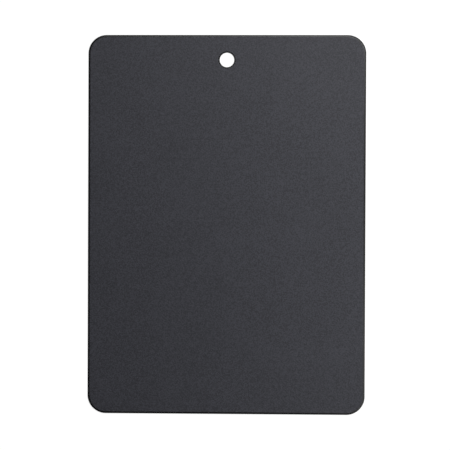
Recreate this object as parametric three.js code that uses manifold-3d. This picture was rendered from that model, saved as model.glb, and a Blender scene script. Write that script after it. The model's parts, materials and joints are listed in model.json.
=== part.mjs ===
// Flexible cutting board: one die-cut sheet with four rounded corners and a hanging hole.
// Millimetres, +Z up. The board lies flat: X across its width, Y along its length, hole at the +Y end.
// The origin is under the middle of the board, on the face that it rests on.
// The sheet bends into a trough about lines along its length. It is divided on those bend lines into
// a centre panel, which holds the hole, and equal strips on either side of it.

import * as THREE from 'three';
import { mergeVertices } from 'three/addons/utils/BufferGeometryUtils.js';
import Module from 'manifold-3d';

// Sheet. The rim is rounded from both faces, up to a narrow flat band around its middle.
const BOARD_WIDTH = 279;
const BOARD_LENGTH = 381;
const SHEET_THICKNESS = 2;
const CORNER_RADIUS = 18.5;
const RIM_BAND = 0.2;

// Hanging hole, on the centre line, measured from its centre to the top edge
const HOLE_DIAMETER = 14.5;
const HOLE_TO_TOP_EDGE = 25;

// Bend lines: how far the sheet turns at each one, either way, and the clearance left at full bend
const CENTRE_PANEL_WIDTH = 46;
const STRIPS_PER_SIDE = 12;
const BEND_PER_LINE_DEG = 7.5;
const BEND_CLEARANCE = 0.17;

// Smoothness of the round stretches
const CURVE_SEGMENTS = 8;
const EDGE_SEGMENTS = 3;

const CHARCOAL = 0x3e3f43;

// Each side of the board shares what the centre panel leaves, in equal strips.
const stripPitch = (BOARD_WIDTH - CENTRE_PANEL_WIDTH) / 2 / STRIPS_PER_SIDE;

// Two strips turn about the middle of the sheet, so their near corners close by this much in all.
const bendClosing = SHEET_THICKNESS * Math.tan(THREE.MathUtils.degToRad(BEND_PER_LINE_DEG) / 2);
const bendGap = bendClosing + BEND_CLEARANCE;

const edgeRounding = (SHEET_THICKNESS - RIM_BAND) / 2;

const wasm = await Module();
wasm.setup();

const charcoal = new THREE.MeshStandardMaterial({ color: CHARCOAL, roughness: 0.55, metalness: 0 });

// Outline of the sheet seen from above, with the hanging hole as a path inside it.
function boardOutline() {
  const x = BOARD_WIDTH / 2;
  const y = BOARD_LENGTH / 2;
  const r = CORNER_RADIUS;
  const outline = new THREE.Shape();
  outline.moveTo(x, r - y);
  outline.absarc(x - r, y - r, r, 0, Math.PI / 2);
  outline.absarc(r - x, y - r, r, Math.PI / 2, Math.PI);
  outline.absarc(r - x, r - y, r, Math.PI, 1.5 * Math.PI);
  outline.absarc(x - r, r - y, r, 1.5 * Math.PI, 2 * Math.PI);
  const hole = new THREE.Path();
  hole.absarc(0, y - HOLE_TO_TOP_EDGE, HOLE_DIAMETER / 2, 0, Math.PI);
  hole.absarc(0, y - HOLE_TO_TOP_EDGE, HOLE_DIAMETER / 2, Math.PI, 2 * Math.PI);
  outline.holes.push(hole);
  return outline;
}

function toSolid(geometry) {
  geometry.deleteAttribute('normal');
  geometry.deleteAttribute('uv');
  const merged = mergeVertices(geometry);
  return new wasm.Manifold(new wasm.Mesh({
    numProp: 3,
    vertProperties: Float32Array.from(merged.attributes.position.array),
    triVerts: Uint32Array.from(merged.index.array),
  }));
}

function toGeometry(solid) {
  const mesh = solid.getMesh();
  const geometry = new THREE.BufferGeometry();
  geometry.setAttribute('position', new THREE.BufferAttribute(mesh.vertProperties, 3));
  geometry.setIndex(new THREE.BufferAttribute(mesh.triVerts, 1));
  geometry.computeVertexNormals();
  return geometry;
}

// The whole sheet: the outline raised to the thickness, with its rim and the hole's rim rounded.
function sheetSolid() {
  const geometry = new THREE.ExtrudeGeometry(boardOutline(), {
    depth: SHEET_THICKNESS - 2 * edgeRounding,
    curveSegments: CURVE_SEGMENTS,
    bevelThickness: edgeRounding,
    bevelSize: edgeRounding,
    bevelOffset: -edgeRounding,
    bevelSegments: EDGE_SEGMENTS,
  });
  geometry.translate(0, 0, edgeRounding);
  return toSolid(geometry);
}

// The part of the sheet between two places across its width. The slab that cuts it out runs past
// both ends and both faces of the sheet.
function sectionMesh(name, sheet, fromX, toX) {
  const slab = new THREE.BoxGeometry(toX - fromX, 2 * BOARD_LENGTH, 4 * SHEET_THICKNESS);
  slab.translate((fromX + toX) / 2, 0, 0);
  const mesh = new THREE.Mesh(toGeometry(sheet.intersect(toSolid(slab))), charcoal);
  mesh.name = name;
  return mesh;
}

// Strip 1 lies beside the centre panel. The last strip's slab runs out past the board's long edge.
function sideStrips(sheet, side, sign) {
  const strips = new THREE.Group();
  for (let k = 1; k <= STRIPS_PER_SIDE; k += 1) {
    const inner = CENTRE_PANEL_WIDTH / 2 + (k - 1) * stripPitch + bendGap / 2;
    const outer = k < STRIPS_PER_SIDE ? inner + stripPitch - bendGap : BOARD_WIDTH;
    const ends = [sign * inner, sign * outer].sort((a, b) => a - b);
    const name = `${side}_strip_${String(k).padStart(2, '0')}`;
    strips.add(sectionMesh(name, sheet, ends[0], ends[1]));
  }
  return strips;
}

const board = new THREE.Group();
const sheet = sheetSolid();
const centreReach = (CENTRE_PANEL_WIDTH - bendGap) / 2;
board.add(sectionMesh('centre_panel', sheet, -centreReach, centreReach));
board.add(sideStrips(sheet, 'left', -1));
board.add(sideStrips(sheet, 'right', 1));

export default board;
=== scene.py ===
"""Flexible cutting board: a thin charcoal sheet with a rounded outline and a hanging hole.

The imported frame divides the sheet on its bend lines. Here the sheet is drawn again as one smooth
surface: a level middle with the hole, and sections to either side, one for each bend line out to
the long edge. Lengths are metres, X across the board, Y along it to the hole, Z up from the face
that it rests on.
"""

import json
import math

import bmesh
import bpy
import numpy as np
from bpy.props import FloatProperty, FloatVectorProperty, IntProperty, PointerProperty
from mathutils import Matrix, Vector


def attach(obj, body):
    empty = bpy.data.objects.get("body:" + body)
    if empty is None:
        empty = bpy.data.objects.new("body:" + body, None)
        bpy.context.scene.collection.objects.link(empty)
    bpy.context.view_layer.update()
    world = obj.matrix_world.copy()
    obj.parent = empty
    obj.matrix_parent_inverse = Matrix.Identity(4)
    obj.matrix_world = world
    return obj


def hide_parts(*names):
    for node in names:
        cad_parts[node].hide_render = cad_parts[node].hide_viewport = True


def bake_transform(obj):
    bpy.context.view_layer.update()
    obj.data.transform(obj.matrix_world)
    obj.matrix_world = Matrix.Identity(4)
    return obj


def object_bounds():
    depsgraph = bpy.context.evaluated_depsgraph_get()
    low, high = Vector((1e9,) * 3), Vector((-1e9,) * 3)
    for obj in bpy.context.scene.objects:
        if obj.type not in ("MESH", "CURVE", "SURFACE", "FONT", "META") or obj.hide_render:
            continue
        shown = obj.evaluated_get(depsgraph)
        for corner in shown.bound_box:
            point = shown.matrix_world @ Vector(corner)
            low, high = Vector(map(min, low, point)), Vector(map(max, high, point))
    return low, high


bl_info = {
    "name": "Flexible Cutting Board",
    "version": (1, 0, 0),
    "blender": (4, 5, 0),
    "location": "3D View > Sidebar > Cutting Board",
    "description": "Draws a flexible cutting board over its packed frame, with finish and stage",
    "category": "Add Mesh",
}

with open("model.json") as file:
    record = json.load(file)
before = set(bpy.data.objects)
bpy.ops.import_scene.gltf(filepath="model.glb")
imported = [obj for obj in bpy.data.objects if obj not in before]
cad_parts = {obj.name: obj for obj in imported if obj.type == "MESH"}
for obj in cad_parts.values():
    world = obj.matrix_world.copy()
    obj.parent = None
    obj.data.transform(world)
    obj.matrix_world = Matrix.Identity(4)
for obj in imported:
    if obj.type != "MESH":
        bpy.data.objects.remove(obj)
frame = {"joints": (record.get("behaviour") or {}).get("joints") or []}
cad_low, cad_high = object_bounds()

HALF_WIDTH = (cad_high.x - cad_low.x) / 2
HALF_LENGTH = (cad_high.y - cad_low.y) / 2
THICKNESS = cad_high.z - cad_low.z
MM = 0.001

# With this reach, in pitches, a section's slope runs from one strip's to the next one's between the
# middles of the two strips, so that sections meet without a crease.
BLEND_REACH = (1 + math.sqrt(3)) / 2
WELD_DISTANCE = 1e-6
SHARP_ANGLE = math.radians(40)

# The row inside the rim, as a share of the rim's width, and the rows between the ends of the board,
# as shares of half the length
LAST_ROW = 1.25
INNER_SHARES = (-0.5, 0, 0.5)

# Share of the rim's height below a face from which the rim counts as cut edge, whose darker
# colour is painted shade
EDGE_FROM = 0.55

# Each section's outer end has a lip inside the next section, sunk a little below the faces.
LIP_LENGTH = 0.15 * MM
LIP_STEP = 0.015 * MM

POLYMER_IOR = 1.5
FACE_SPECULAR = 0.36
EDGE_SPECULAR = 0.1

# The margin: its colour as a share of the charcoal, darkened as painted shade, its roughness, and
# where the grain starts, as a share of its width
MARGIN_SHADE_SHARE = 0.12
MARGIN_ROUGHNESS = 0.3
MARGIN_FADE_FROM = 0.9

# The grain: scales of its noises, share of the fine noise in its height and of the drift in its
# colour, range of the noise that is spread over dark to light, and how far the roughness varies
FINE_PER_PEBBLE = 2.4
SPECKLE_PER_PEBBLE = 0.75
DRIFT_PER_MM = 0.02
FINE_SHARE = 0.5
DRIFT_SHARE = 0.15
MOTTLE_LOW, MOTTLE_HIGH = 0.425, 0.725
ROUGHNESS_SPREAD = 0.08

# The streaks of the cut edge
STREAKS_PER_MM = 1.6
STREAK_SPREAD = 0.2
STREAK_HEIGHT = 0.02 * MM

# The floor: half its width, its distance under the board, the distances between which it turns to
# plain white, and its own glow and grey before that
FLOOR_HALF = 30.0
FLOOR_GAP = 0.1 * MM
FLOOR_NEAR, FLOOR_FAR = 0.35, 0.7
FLOOR_GLOW, FLOOR_GREY = 0.9, 0.25
WHITE = (1, 1, 1, 1)

# Height at which the white round the horizon ends, for reflections
HORIZON = 0.2
SENSOR_WIDTH_MM = 36

# Name, place and size of each lamp, and the stage's value that holds its power
LAMPS = (
    ("key_lamp", (0.241, 0.357, 0.552), (0.5, 0.25), "key_power"),
    ("side_lamp", (0.39, -0.225, 0.536), (0.55, 0.5), "side_power"),
    ("rim_lamp", (-0.1, 0.8, 1.37), (0.4, 0.15), "rim_power"),
)


class CUTBOARD_PG_sheet(bpy.types.PropertyGroup):
    """Sizes of the sheet that its boxes in the frame don't give."""

    corner_radius: FloatProperty(
        name="Corner radius",
        description="Radius of the four rounded corners",
        default=18.5 * MM,
        unit="LENGTH",
        precision=5,
    )
    rim_height: FloatProperty(
        name="Rim height",
        description="How far the rim's rounding falls from either face",
        default=0.9 * MM,
        unit="LENGTH",
        precision=5,
    )
    rim_width: FloatProperty(
        name="Rim width",
        description="How far the rim's rounding reaches in from the outline",
        default=2.0 * MM,
        unit="LENGTH",
        precision=5,
    )
    hole_diameter: FloatProperty(
        name="Hole diameter",
        description="Width of the hanging hole at its narrowest",
        default=14.5 * MM,
        unit="LENGTH",
        precision=5,
    )
    hole_rim_width: FloatProperty(
        name="Hole rim width",
        description="How far the tighter rounding of the punched hole reaches from its wall",
        default=0.5 * MM,
        unit="LENGTH",
        precision=5,
    )
    # The ring of margin round the hole is darkened as painted shade.
    hole_margin: FloatProperty(
        name="Hole margin",
        description="Distance of the last ring from the hole's wall, where the grain is in full",
        default=1.8 * MM,
        unit="LENGTH",
        precision=5,
    )
    hole_to_top: FloatProperty(
        name="Hole to top edge",
        description="Distance from the middle of the hanging hole to the top edge",
        default=25 * MM,
        unit="LENGTH",
        precision=5,
    )
    column_spacing: FloatProperty(
        name="Column spacing",
        description="Distance between the columns of points that let the sheet curve",
        default=0.6 * MM,
        unit="LENGTH",
        precision=5,
    )
    rim_steps: IntProperty(
        name="Rim steps",
        description="Steps round each quarter of the rim's rounding",
        default=8,
        min=2,
    )


class CUTBOARD_PG_finish(bpy.types.PropertyGroup):
    """Colour and grain of the sheet."""

    charcoal: FloatVectorProperty(
        name="Charcoal",
        description="Colour of the two faces",
        default=(0.0418, 0.0428, 0.0533),
        size=3,
        subtype="COLOR",
        min=0,
        max=1,
    )
    # Painted shade: the cut edge's colour is darkened well below the charcoal along the edge.
    shaded_edge_charcoal: FloatVectorProperty(
        name="Cut edge",
        description="Colour of the cut edge, deeper than the grained faces",
        default=(0.012, 0.012, 0.014),
        size=3,
        subtype="COLOR",
        min=0,
        max=1,
    )
    speckle: FloatProperty(
        name="Speckle",
        description="How much the grain lightens and darkens the charcoal",
        default=0.31,
        subtype="FACTOR",
        min=0,
        max=1,
    )
    pebble: FloatProperty(
        name="Pebble size",
        description="Width of one pebble of the grain",
        default=0.9 * MM,
        unit="LENGTH",
        precision=5,
    )
    pebble_height: FloatProperty(
        name="Pebble height",
        description="Height of the grain",
        default=0.06 * MM,
        unit="LENGTH",
        precision=6,
    )
    # The margin's darker colour is painted shade along the outline and round the hole.
    margin: FloatProperty(
        name="Margin",
        description="Width of the smooth darker margin along the outline, less round the hole",
        default=2.15 * MM,
        unit="LENGTH",
        precision=5,
    )
    roughness: FloatProperty(
        name="Roughness",
        description="Roughness of the grained faces",
        default=0.55,
        subtype="FACTOR",
        min=0,
        max=1,
    )


class CUTBOARD_PG_stage(bpy.types.PropertyGroup):
    """Camera, lamps and floor."""

    camera_place: FloatVectorProperty(
        name="Camera place",
        description="Where the camera stands, above the board",
        default=(0.0418, 0.0155, 1.5),
        size=3,
        subtype="TRANSLATION",
    )
    camera_turn: FloatVectorProperty(
        name="Camera turn",
        description="How the camera is turned from straight down",
        default=(math.radians(-0.5946), math.radians(1.6522), math.radians(0.2213)),
        size=3,
        subtype="EULER",
    )
    lens: FloatProperty(
        name="Lens",
        description="Focal length of the camera, for a sensor 36 mm wide",
        default=119.33,
        unit="CAMERA",
    )
    key_power: FloatProperty(
        name="Key lamp",
        description="Power of the soft box over the top right corner",
        default=2.0,
        unit="POWER",
    )
    side_power: FloatProperty(
        name="Side lamp",
        description="Power of the soft box to the right",
        default=1.67,
        unit="POWER",
    )
    rim_power: FloatProperty(
        name="Rim lamp",
        description="Power of the lamp high beyond the top edge, for a light line on the rim",
        default=2.4,
        unit="POWER",
    )
    ambient: FloatProperty(
        name="Ambient",
        description="Level of the even light from all round",
        default=0.12,
        min=0,
        max=1,
    )


def settings():
    """The scene's own values of the sheet, the finish and the stage."""
    scene = bpy.context.scene
    return scene.cutboard_sheet, scene.cutboard_finish, scene.cutboard_stage


def board_collection():
    """Collection of the drawn pieces, made when it is first asked for."""
    name = "board"
    if name not in bpy.data.collections:
        bpy.context.scene.collection.children.link(bpy.data.collections.new(name))
    return bpy.data.collections[name]


def face_height(inset, sheet):
    """Height of the sheet's upper side at a distance in from its outline.

    A quarter of an ellipse rises from the band at mid thickness, and the face is level from its
    end inwards: z = t - h + h sqrt(1 - u^2), where u falls from 1 at the outline to 0 at the rim's
    width.
    """
    u = np.clip(1 - inset / sheet.rim_width, 0, 1)
    return THICKNESS - sheet.rim_height * (1 - np.sqrt(1 - u**2))


def rim_insets(sheet):
    """Distances of the rim's rows in from the outline: w (1 - sin a), for equal steps of a.

    One row more, a quarter of the rim's width further in, keeps the face level up to the rim.
    """
    turn = np.linspace(np.pi / 2, 0, sheet.rim_steps + 1)
    return sheet.rim_width * np.append(1 - np.sin(turn), LAST_ROW)


def outline_reach(x, inset, radius):
    """How far the outline, moved in by inset, reaches along Y at each place x across the board.

    The corner's centre plus the corner circle's own height: c + sqrt((R - inset)^2 - over^2),
    where over is how far x lies past the corner's centre.
    """
    over = np.clip(np.abs(x) - (HALF_WIDTH - radius), 0, None)
    return HALF_LENGTH - radius + np.sqrt(np.clip((radius - inset) ** 2 - over**2, 0, None))


def grid_of(*parts):
    """One array of x, y, z and inset for every point, from parts that share columns and rows."""
    return np.stack(np.broadcast_arrays(*parts), axis=-1)


def upper_grid(x, sheet):
    """Upper side of the sheet over the columns x, one row for each rim inset at either end.

    Each inset is cut down to the column's own distance from the long edge. Its row lies at plus or
    minus the outline's reach for that inset, at the height of the face there. Three rows share out
    the length in between.
    """
    insets = rim_insets(sheet)
    rows = np.concatenate([insets, np.repeat(insets[-1], len(INNER_SHARES)), insets[::-1]])
    ends = np.ones(len(insets))
    share = np.concatenate([-ends, INNER_SHARES, ends])
    inset = np.minimum(rows, HALF_WIDTH - np.abs(x)[:, None])
    y = share * outline_reach(x[:, None], inset, sheet.corner_radius)
    return grid_of(x[:, None], y, face_height(inset, sheet), inset)


def lipped_grid(x, sheet):
    """Upper side over the columns x, with a lip past the last one, inside the next section.

    The end walls of neighbouring sections tilt apart when the sheet bends, and a slit opens between
    them on its outer face. The lip closes it. Its two columns follow the sheet, with z - s and with
    y nearer the middle by s, where s is the lip's step.
    """
    lip = x[-1] + np.sign(x[-1]) * np.array([0, LIP_LENGTH])
    grid = upper_grid(np.append(x, lip), sheet)
    grid[-2:, :, 1] -= np.sign(grid[-2:, :, 1]) * LIP_STEP
    grid[-2:, :, 2] -= LIP_STEP
    return grid


def end_grid(x, sheet, end, stop):
    """Upper side of the level middle, from a row at y = stop to the rim at one end of the board.

    The columns are straight, so every row is at one y: stop, then end * (half length - inset).
    """
    insets = rim_insets(sheet)[::-1]
    y = np.append(stop, end * (HALF_LENGTH - insets))
    insets = np.append(insets[0], insets)
    return grid_of(x[:, None], y, face_height(insets, sheet), insets)


def hole_insets(sheet):
    """Distances of the rings from the hole's wall: the rim's, narrowed, and the margin's end."""
    narrowed = rim_insets(sheet)[:-1] * sheet.hole_rim_width / sheet.rim_width
    return np.append(narrowed, sheet.hole_margin)


def hole_ring(x, sheet):
    """Upper side round the hanging hole, one row for each ring from a square in to the wall.

    The first row follows the square whose side is the width of the columns x. The others are
    circles of radius hole + inset, at equal angles from the square's first corner and at the
    heights of the rim. The last column repeats the first one. The insets kept for the finish are
    stretched so that the hole's margin, darkened as painted shade, ends where the last row of the
    rim does.
    """
    middle = HALF_LENGTH - sheet.hole_to_top
    run, back, edge = x[:-1], x[:0:-1], np.full(len(x) - 1, x[-1])
    square_x = np.concatenate([run, edge, back, -edge, run[:1]])
    square_y = np.concatenate([-edge, run, edge, back, -edge[:1]])
    angle = np.linspace(0, 2 * np.pi, len(square_x)) - 0.75 * np.pi
    insets = hole_insets(sheet)[::-1, None]
    radius = sheet.hole_diameter / 2 + insets
    ring_x = np.concatenate([square_x[None], radius * np.cos(angle)])
    ring_y = np.concatenate([square_y[None], radius * np.sin(angle)])
    insets = np.concatenate([insets[:1], insets])
    height = face_height(insets * sheet.rim_width / sheet.hole_rim_width, sheet)
    kept = insets * rim_insets(sheet)[-1] / sheet.hole_margin
    return grid_of(ring_x, middle + ring_y, height, kept)


def grid_quads(index):
    """Quads between neighbouring columns and rows of a grid of point numbers."""
    corners = [index[:-1, :-1], index[1:, :-1], index[1:, 1:], index[:-1, 1:]]
    return np.stack(corners, axis=-1).reshape(-1, 4)


def line_quads(upper, lower):
    """Quads between two rows of point numbers, one on the upper and one on the lower side."""
    return np.stack([upper[:-1], upper[1:], lower[1:], lower[:-1]], axis=-1)


def both_sides(grid, walls):
    """Points and quads of an upper grid and its mirror image, joined along some edges.

    The mirror lies at mid thickness. walls picks the edges: each function takes a grid of point
    numbers and returns one row of it.
    """
    lower = grid * np.array([1, 1, -1, 1]) + np.array([0, 0, THICKNESS, 0])
    index = np.arange(grid.shape[0] * grid.shape[1]).reshape(grid.shape[:2])
    below = index + index.size
    quads = [grid_quads(index), grid_quads(below)[:, ::-1]]
    quads += [line_quads(wall(index), wall(below)) for wall in walls]
    return np.concatenate([grid.reshape(-1, 4), lower.reshape(-1, 4)]), np.concatenate(quads)


def sheet_piece(name, shells, nodes, sheet, finish):
    """One closed piece of the sheet from shells of points and quads whose edges meet.

    Equal points become one, and all faces then turn outwards. The faces low on the rounding get the
    cut edge's finish, whose darker colour is painted shade. Two attributes keep where each point
    lies on the flat sheet, for the grain, and how far in from the outline or the hole, for the
    smooth margin, whose darker colour is painted shade too.
    """
    start = np.cumsum([0] + [len(points) for points, _ in shells])
    points = np.concatenate([points for points, _ in shells])
    quads = np.concatenate([quads + first for (_, quads), first in zip(shells, start)])
    mesh = bpy.data.meshes.new(name)
    mesh.from_pydata(points[:, :3], [], quads.tolist())
    inset = mesh.attributes.new("rim_inset", "FLOAT", "POINT")
    inset.data.foreach_set("value", points[:, 3].astype(np.float32))
    work = bmesh.new()
    work.from_mesh(mesh)
    bmesh.ops.remove_doubles(work, verts=work.verts, dist=WELD_DISTANCE)
    bmesh.ops.recalc_face_normals(work, faces=work.faces)
    if not all(edge.is_manifold for edge in work.edges):
        raise RuntimeError(f"{name} is not closed")
    work.to_mesh(mesh)
    work.free()
    place = np.empty(len(mesh.vertices) * 3, np.float32)
    mesh.vertices.foreach_get("co", place)
    mesh.attributes.new("flat_place", "FLOAT_VECTOR", "POINT").data.foreach_set("vector", place)
    mesh.materials.append(face_finish(finish))
    mesh.materials.append(shaded_edge_finish(finish))
    centres = np.empty(len(mesh.polygons) * 3, np.float32)
    mesh.polygons.foreach_get("center", centres)
    depth = THICKNESS / 2 - np.abs(centres[2::3] - THICKNESS / 2)
    edge = (depth > sheet.rim_height * EDGE_FROM).astype(np.int32)
    mesh.polygons.foreach_set("material_index", edge)
    mesh.shade_smooth()
    mesh.set_sharp_from_angle(angle=SHARP_ANGLE)
    piece = bpy.data.objects.new(name, mesh)
    board_collection().objects.link(piece)
    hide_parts(*nodes)
    return piece


def add_node(tree, kind, values, **options):
    """Adds a node with its options, and gives its inputs a value or a link from another node."""
    node = tree.nodes.new(kind)
    for key, value in options.items():
        setattr(node, key, value)
    for key, value in values.items():
        if isinstance(value, bpy.types.NodeSocket):
            tree.links.new(value, node.inputs[key])
        else:
            node.inputs[key].default_value = value
    return node


def new_tree(owner):
    """Empties a material's or the world's node tree and returns it."""
    owner.use_nodes = True
    owner.node_tree.nodes.clear()
    return owner.node_tree


def grain_place(tree):
    """Place on the flat sheet in millimetres, which bends along with the sheet."""
    place = add_node(tree, "ShaderNodeAttribute", {}, attribute_name="flat_place")
    return add_node(
        tree,
        "ShaderNodeVectorMath",
        {0: place.outputs["Vector"], 1: (1 / MM, 1 / MM, 1 / MM)},
        operation="MULTIPLY",
    ).outputs["Vector"]


def shade_of(colour, share):
    """A colour times a share of it, with full alpha."""
    return [c * share for c in colour] + [1]


def face_finish(finish):
    """Charcoal polymer with a fine pebble grain, and a smooth darker margin along its edges.

    Height is smooth Voronoi cells one pebble wide with finer noise on them. The colour lightens and
    darkens with noise of about the pebble's size, and drifts a little over the length of a hand.
    The margin's darker colour is painted shade along the outline and round the hole.
    """
    name = "charcoal_grain"
    if name in bpy.data.materials:
        return bpy.data.materials[name]
    made = bpy.data.materials.new(name)
    tree = new_tree(made)
    place = grain_place(tree)
    per_pebble = MM / finish.pebble
    cells = add_node(
        tree,
        "ShaderNodeTexVoronoi",
        {"Vector": place, "Scale": per_pebble, "Smoothness": 0.6, "Randomness": 0.9},
        feature="SMOOTH_F1",
    )
    fine = add_node(
        tree,
        "ShaderNodeTexNoise",
        {
            "Vector": place,
            "Scale": FINE_PER_PEBBLE * per_pebble,
            "Detail": 2.0,
            "Roughness": 0.6,
        },
    )
    height = add_node(
        tree,
        "ShaderNodeMath",
        {0: fine.outputs[0], 1: FINE_SHARE, 2: cells.outputs["Distance"]},
        operation="MULTIPLY_ADD",
    )
    inset = add_node(tree, "ShaderNodeAttribute", {}, attribute_name="rim_inset")
    flat = add_node(
        tree,
        "ShaderNodeMapRange",
        {
            "Value": inset.outputs["Fac"],
            "From Min": finish.margin * MARGIN_FADE_FROM,
            "From Max": finish.margin,
        },
        interpolation_type="SMOOTHSTEP",
    )
    bump = add_node(
        tree,
        "ShaderNodeBump",
        {
            "Height": height.outputs[0],
            "Strength": flat.outputs[0],
            "Distance": finish.pebble_height,
        },
    )
    speckle = add_node(
        tree,
        "ShaderNodeTexNoise",
        {
            "Vector": place,
            "Scale": SPECKLE_PER_PEBBLE * per_pebble,
            "Detail": 1.0,
            "Roughness": 0.5,
        },
    )
    drift = add_node(
        tree,
        "ShaderNodeTexNoise",
        {"Vector": place, "Scale": DRIFT_PER_MM, "Detail": 2.0, "Roughness": 0.5},
    )
    mottle = add_node(
        tree,
        "ShaderNodeMath",
        {0: drift.outputs[0], 1: DRIFT_SHARE, 2: speckle.outputs[0]},
        operation="MULTIPLY_ADD",
    )
    spread = add_node(
        tree,
        "ShaderNodeMapRange",
        {"Value": mottle.outputs[0], "From Min": MOTTLE_LOW, "From Max": MOTTLE_HIGH},
    )
    grained = add_node(
        tree,
        "ShaderNodeMix",
        {
            0: spread.outputs[0],
            6: shade_of(finish.charcoal, 1 - finish.speckle),
            7: shade_of(finish.charcoal, 1 + finish.speckle),
        },
        data_type="RGBA",
    )
    # Painted shade: the margin along the outline and round the hole is darkened to a share of the
    # charcoal.
    colour = add_node(
        tree,
        "ShaderNodeMix",
        {
            0: flat.outputs[0],
            6: shade_of(finish.charcoal, MARGIN_SHADE_SHARE),
            7: grained.outputs[2],
        },
        data_type="RGBA",
    )
    gloss = add_node(
        tree,
        "ShaderNodeMapRange",
        {
            "Value": fine.outputs[0],
            "To Min": finish.roughness - ROUGHNESS_SPREAD,
            "To Max": finish.roughness + ROUGHNESS_SPREAD,
        },
    )
    gloss = add_node(
        tree,
        "ShaderNodeMix",
        {0: flat.outputs[0], 2: MARGIN_ROUGHNESS, 3: gloss.outputs[0]},
        data_type="FLOAT",
    )
    shader = add_node(
        tree,
        "ShaderNodeBsdfPrincipled",
        {
            "Base Color": colour.outputs[2],
            "Roughness": gloss.outputs[0],
            "Normal": bump.outputs[0],
            "IOR": POLYMER_IOR,
            "Specular IOR Level": FACE_SPECULAR,
        },
    )
    add_node(tree, "ShaderNodeOutputMaterial", {"Surface": shader.outputs[0]})
    return made


def shaded_edge_finish(finish):
    """Cut edge of the same polymer, with faint streaks of the cutter along it.

    Its deeper colour is painted shade along the edge.
    """
    name = "charcoal_cut_edge"
    if name in bpy.data.materials:
        return bpy.data.materials[name]
    made = bpy.data.materials.new(name)
    tree = new_tree(made)
    place = grain_place(tree)
    streaks = add_node(
        tree,
        "ShaderNodeTexNoise",
        {"Vector": place, "Scale": STREAKS_PER_MM, "Detail": 3.0, "Roughness": 0.6},
    )
    # Painted shade: the cut edge's colour is darkened to stand for shade along the edge; the
    # streaks vary it at random.
    colour = add_node(
        tree,
        "ShaderNodeMix",
        {
            0: streaks.outputs[0],
            6: shade_of(finish.shaded_edge_charcoal, 1 - STREAK_SPREAD),
            7: shade_of(finish.shaded_edge_charcoal, 1 + STREAK_SPREAD),
        },
        data_type="RGBA",
    )
    bump = add_node(
        tree,
        "ShaderNodeBump",
        {"Height": streaks.outputs[0], "Strength": 1.0, "Distance": STREAK_HEIGHT},
    )
    gloss = add_node(
        tree,
        "ShaderNodeMapRange",
        {"Value": streaks.outputs[0], "To Min": 0.55, "To Max": 0.7},
    )
    shader = add_node(
        tree,
        "ShaderNodeBsdfPrincipled",
        {
            "Base Color": colour.outputs[2],
            "Roughness": gloss.outputs[0],
            "Normal": bump.outputs[0],
            "IOR": POLYMER_IOR,
            "Specular IOR Level": EDGE_SPECULAR,
        },
    )
    add_node(tree, "ShaderNodeOutputMaterial", {"Surface": shader.outputs[0]})
    return made


def bend_joints(side):
    """Joints of one side's bend lines, from the middle of the board outwards."""
    found = [joint for joint in frame["joints"] if joint["name"].startswith(side)]
    return sorted(found, key=lambda joint: abs(joint["pos_m"][0]))


def bend_places(joints):
    """Distances of the bend lines from the centre line, and the pitch between them."""
    places = np.array([abs(joint["pos_m"][0]) for joint in joints])
    return places, places[1] - places[0]


class CUTBOARD_OT_centre(bpy.types.Operator):
    """Draws the level middle of the sheet, with the hanging hole"""

    bl_idname = "cutboard.centre"
    bl_label = "Draw the middle"

    def execute(self, context):
        sheet, finish, _ = settings()
        places, pitch = bend_places(bend_joints("right"))
        level = places[0] - BLEND_REACH * pitch
        if level <= sheet.hole_diameter / 2 + sheet.hole_margin:
            raise RuntimeError("the hanging hole is wider than the level middle of the sheet")
        x = np.linspace(-level, level, 2 * round(level / sheet.column_spacing) + 1)
        hole = HALF_LENGTH - sheet.hole_to_top
        end_walls = [lambda g: g[0], lambda g: g[-1], lambda g: g[:, -1]]
        shells = [
            both_sides(end_grid(x, sheet, end, hole + end * level), end_walls)
            for end in (-1, 1)
        ]
        n = len(x) - 1
        ring = hole_ring(x, sheet)
        ring_walls = [
            lambda g: g[0, n : 2 * n + 1],
            lambda g: g[0, 3 * n : 4 * n + 1],
            lambda g: g[-1],
        ]
        shells.append(both_sides(ring, ring_walls))
        piece = sheet_piece("sheet_centre", shells, ["centre_panel"], sheet, finish)
        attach(piece, "centre_panel")
        return {"FINISHED"}


class CUTBOARD_OT_sides(bpy.types.Operator):
    """Draws the sections, one for each bend line, out to both long edges"""

    bl_idname = "cutboard.sides"
    bl_label = "Draw the sides"

    def execute(self, context):
        sheet, finish, _ = settings()
        for side, sign in (("left", -1), ("right", 1)):
            joints = bend_joints(side)
            places, pitch = bend_places(joints)
            reach = BLEND_REACH * pitch
            rim = HALF_WIDTH - rim_insets(sheet)[::-1]
            inner = np.append(places[0] - reach, places[1:] - pitch / 2)
            outer = np.append(inner[1:], rim[0])
            walls = [lambda g: g[0], lambda g: g[-1], lambda g: g[:, 0], lambda g: g[:, -1]]
            for k, joint in enumerate(joints):
                columns = round((outer[k] - inner[k]) / sheet.column_spacing) + 1
                x = np.linspace(inner[k], outer[k], columns)
                if joint is joints[-1]:
                    grid = upper_grid(sign * np.append(x, rim[1:]), sheet)
                else:
                    grid = lipped_grid(sign * x, sheet)
                shell = both_sides(grid, walls)
                name = f"sheet_{side}_{k + 1:02d}"
                piece = sheet_piece(name, [shell], [joint["child"]], sheet, finish)
                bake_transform(piece)
        return {"FINISHED"}


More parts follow.
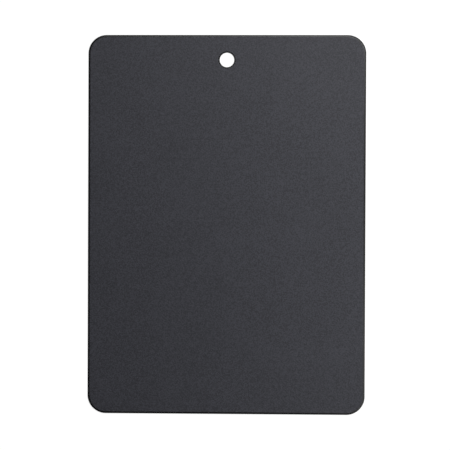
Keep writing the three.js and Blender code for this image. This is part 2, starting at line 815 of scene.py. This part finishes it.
def floor_finish():
    """White floor that keeps the shadow of the board.

    It glows a little below white and takes the rest from the lamps. Away from the board it is
    plain white.
    """
    made = bpy.data.materials.new("white_floor")
    tree = new_tree(made)
    place = add_node(tree, "ShaderNodeTexCoord", {})
    away = add_node(
        tree,
        "ShaderNodeVectorMath",
        {0: place.outputs["Object"]},
        operation="LENGTH",
    )
    far = add_node(
        tree,
        "ShaderNodeMapRange",
        {"Value": away.outputs["Value"], "From Min": FLOOR_NEAR, "From Max": FLOOR_FAR},
        interpolation_type="SMOOTHSTEP",
    )
    glow = add_node(tree, "ShaderNodeEmission", {"Color": WHITE, "Strength": FLOOR_GLOW})
    lit = add_node(tree, "ShaderNodeBsdfDiffuse", {"Color": shade_of(WHITE[:3], FLOOR_GREY)})
    near = add_node(tree, "ShaderNodeAddShader", {0: glow.outputs[0], 1: lit.outputs[0]})
    white = add_node(tree, "ShaderNodeEmission", {"Color": WHITE, "Strength": 1.0})
    floor = add_node(
        tree,
        "ShaderNodeMixShader",
        {0: far.outputs[0], 1: near.outputs[0], 2: white.outputs[0]},
    )
    add_node(tree, "ShaderNodeOutputMaterial", {"Surface": floor.outputs[0]})
    return made


def floor_under_board():
    """Nodes that lay the floor just under the board's lowest point, however it is bent."""
    group = bpy.data.node_groups.new("floor_under_board", "GeometryNodeTree")
    group.interface.new_socket("Geometry", in_out="INPUT", socket_type="NodeSocketGeometry")
    group.interface.new_socket("Geometry", in_out="OUTPUT", socket_type="NodeSocketGeometry")
    flat = add_node(group, "NodeGroupInput", {})
    board = add_node(group, "GeometryNodeCollectionInfo", {"Collection": board_collection()})
    whole = add_node(
        group,
        "GeometryNodeRealizeInstances",
        {"Geometry": board.outputs["Instances"]},
    )
    box = add_node(group, "GeometryNodeBoundBox", {"Geometry": whole.outputs["Geometry"]})
    lowest = add_node(group, "ShaderNodeSeparateXYZ", {"Vector": box.outputs["Min"]})
    below = add_node(
        group,
        "ShaderNodeMath",
        {0: lowest.outputs["Z"], 1: FLOOR_GAP},
        operation="SUBTRACT",
    )
    move = add_node(group, "ShaderNodeCombineXYZ", {"Z": below.outputs[0]})
    laid = add_node(
        group,
        "GeometryNodeSetPosition",
        {"Geometry": flat.outputs[0], "Offset": move.outputs[0]},
    )
    add_node(group, "NodeGroupOutput", {0: laid.outputs["Geometry"]})
    return group


def studio_world(stage):
    """Even grey light, and a background that the camera sees white.

    Reflections see the white background round the horizon and below it, and a dark ceiling
    overhead.
    """
    scene = bpy.context.scene
    scene.world = bpy.data.worlds.new("studio")
    tree = new_tree(scene.world)
    path = add_node(tree, "ShaderNodeLightPath", {})
    direction = add_node(tree, "ShaderNodeTexCoord", {})
    height = add_node(tree, "ShaderNodeSeparateXYZ", {0: direction.outputs["Generated"]})
    horizon = add_node(
        tree,
        "ShaderNodeMapRange",
        {
            "Value": height.outputs["Z"],
            "From Min": 0.0,
            "From Max": HORIZON,
            "To Min": 1.0,
            "To Max": 0.0,
        },
        interpolation_type="SMOOTHSTEP",
    )
    mirrored = add_node(
        tree,
        "ShaderNodeMath",
        {0: path.outputs["Is Glossy Ray"], 1: path.outputs["Is Transmission Ray"]},
        operation="MAXIMUM",
    )
    around = add_node(
        tree,
        "ShaderNodeMath",
        {0: mirrored.outputs[0], 1: horizon.outputs[0]},
        operation="MULTIPLY",
    )
    shown = add_node(
        tree,
        "ShaderNodeMath",
        {0: around.outputs[0], 1: path.outputs["Is Camera Ray"]},
        operation="MAXIMUM",
    )
    level = add_node(
        tree,
        "ShaderNodeMapRange",
        {"Value": shown.outputs[0], "To Min": stage.ambient, "To Max": 1.0},
    )
    light = add_node(
        tree,
        "ShaderNodeBackground",
        {"Color": WHITE, "Strength": level.outputs[0]},
    )
    add_node(tree, "ShaderNodeOutputWorld", {"Surface": light.outputs[0]})


def soft_box(name, place, size, power):
    """Rectangular lamp at a place, turned towards the middle of the board."""
    data = bpy.data.lights.new(name, "AREA")
    data.shape = "RECTANGLE"
    data.size, data.size_y = size
    data.energy = power
    lamp = bpy.data.objects.new(name, data)
    lamp.location = place
    lamp.rotation_euler = (-Vector(place)).to_track_quat("-Z", "Y").to_euler()
    lamp.visible_camera = False
    bpy.context.scene.collection.objects.link(lamp)


class CUTBOARD_OT_stage(bpy.types.Operator):
    """Sets up the camera over the board, the lamps, the white floor and the world"""

    bl_idname = "cutboard.stage"
    bl_label = "Set the stage"

    def execute(self, context):
        _, _, stage = settings()
        scene = context.scene
        scene.view_settings.view_transform = "Standard"
        data = bpy.data.cameras.new("camera")
        data.sensor_width = SENSOR_WIDTH_MM
        data.lens = stage.lens
        camera = bpy.data.objects.new("camera", data)
        camera.location = stage.camera_place
        camera.rotation_euler = stage.camera_turn
        scene.collection.objects.link(camera)
        scene.camera = camera
        for name, place, size, power in LAMPS:
            soft_box(name, place, size, getattr(stage, power))
        studio_world(stage)
        half = FLOOR_HALF
        mesh = bpy.data.meshes.new("floor")
        corners = [(-half, -half, 0), (half, -half, 0), (half, half, 0), (-half, half, 0)]
        mesh.from_pydata(corners, [], [(0, 1, 2, 3)])
        mesh.materials.append(floor_finish())
        floor = bpy.data.objects.new("floor", mesh)
        floor.modifiers.new("floor_under_board", "NODES").node_group = floor_under_board()
        floor.visible_diffuse = False
        floor.visible_shadow = False
        scene.collection.objects.link(floor)
        return {"FINISHED"}


class CUTBOARD_PT_panel(bpy.types.Panel):
    """Sizes, finish and stage of the cutting board, with the steps that draw it"""

    bl_label = "Cutting Board"
    bl_idname = "CUTBOARD_PT_panel"
    bl_space_type = "VIEW_3D"
    bl_region_type = "UI"
    bl_category = "Cutting Board"

    def draw(self, context):
        layout = self.layout
        for group in settings():
            box = layout.box()
            for name in group.bl_rna.properties.keys():
                if name not in ("rna_type", "name"):
                    box.prop(group, name)
        for step in STEPS:
            layout.operator(step.bl_idname)


STEPS = (CUTBOARD_OT_stage, CUTBOARD_OT_centre, CUTBOARD_OT_sides)
CLASSES = (CUTBOARD_PG_sheet, CUTBOARD_PG_finish, CUTBOARD_PG_stage, *STEPS, CUTBOARD_PT_panel)


def register():
    """Registers the classes and gives the scene its values."""
    for made in CLASSES:
        bpy.utils.register_class(made)
    bpy.types.Scene.cutboard_sheet = PointerProperty(type=CUTBOARD_PG_sheet)
    bpy.types.Scene.cutboard_finish = PointerProperty(type=CUTBOARD_PG_finish)
    bpy.types.Scene.cutboard_stage = PointerProperty(type=CUTBOARD_PG_stage)


def unregister():
    """Takes the values and the classes away again."""
    del bpy.types.Scene.cutboard_stage
    del bpy.types.Scene.cutboard_finish
    del bpy.types.Scene.cutboard_sheet
    for made in reversed(CLASSES):
        bpy.utils.unregister_class(made)


def main():
    """Draws the board and its stage."""
    register()
    bpy.ops.cutboard.stage()
    bpy.ops.cutboard.centre()
    bpy.ops.cutboard.sides()


if __name__ == "__main__":
    main()
